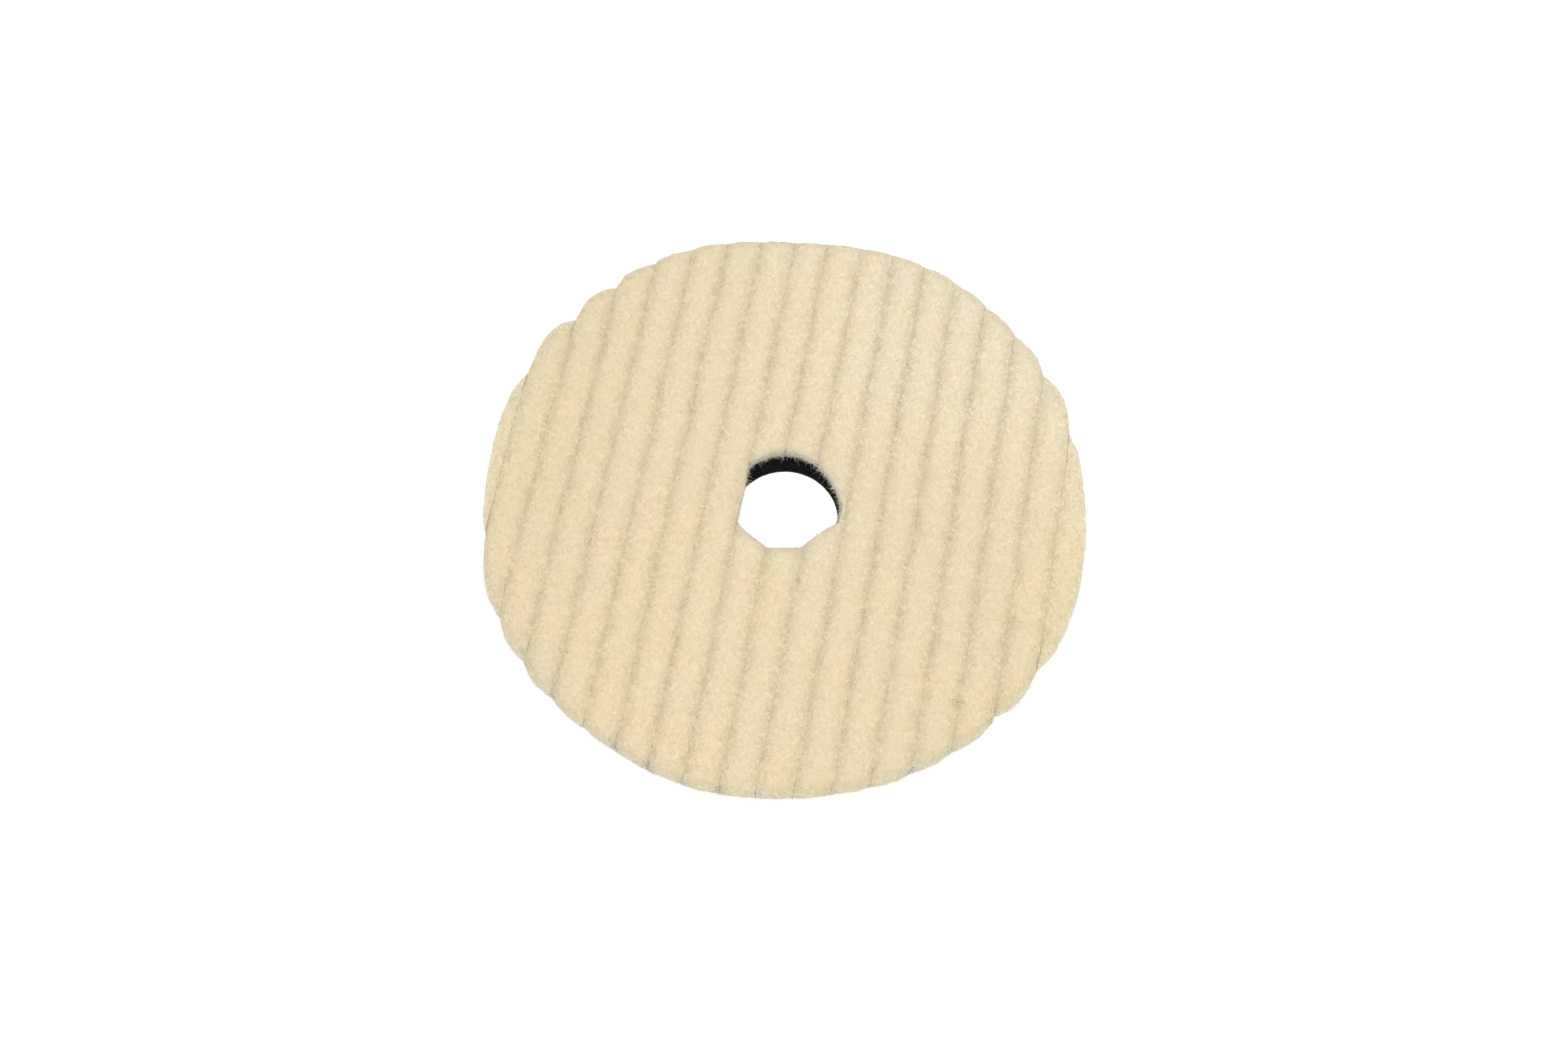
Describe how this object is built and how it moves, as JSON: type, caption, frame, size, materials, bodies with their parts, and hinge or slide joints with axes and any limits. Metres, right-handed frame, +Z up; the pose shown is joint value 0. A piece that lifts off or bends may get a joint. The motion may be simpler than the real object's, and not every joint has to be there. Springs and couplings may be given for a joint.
{
  "type": "wool polishing pad",
  "caption": "Round short-pile wool polishing pad: ribbed cream face with a plain centre hole, on a thin black foam interlayer with a loop back.",
  "frame": {"origin": "on the axis of the centre hole, in the plane of the loop back that the pad lies on", "axes": "+Z up through the pad toward the wool face; the pile rows run along Y and are spaced along X"},
  "size_m": [0.145, 0.145, 0.0145],
  "materials": {
    "wool_pile": "short dense cream wool pile, matt, in parallel ribs",
    "ground_cloth": "plain woven cloth, greyish cream",
    "latex": "thin matt latex coat",
    "foam": "black open-cell polyurethane foam, matt",
    "adhesive_film": "thin hot-melt film",
    "loop_back": "black brushed loop cloth for a hook plate"
  },
  "bodies": {
    "root": {"loop_back": "loop_back", "adhesive_film": "adhesive_film", "foam_core": "foam", "latex_coat": "latex", "ground_cloth": "ground_cloth", "pile_row_01": "wool_pile", "pile_row_02": "wool_pile", "pile_row_03": "wool_pile", "pile_row_04": "wool_pile", "pile_row_05": "wool_pile", "pile_row_06": "wool_pile", "pile_row_07": "wool_pile", "pile_row_08": "wool_pile", "pile_row_09": "wool_pile", "pile_row_10": "wool_pile", "pile_row_11": "wool_pile", "pile_row_12": "wool_pile", "pile_row_13": "wool_pile", "pile_row_14": "wool_pile", "pile_row_15": "wool_pile", "pile_row_16": "wool_pile", "pile_row_17": "wool_pile", "pile_row_18": "wool_pile"}
  },
  "joints": []
}
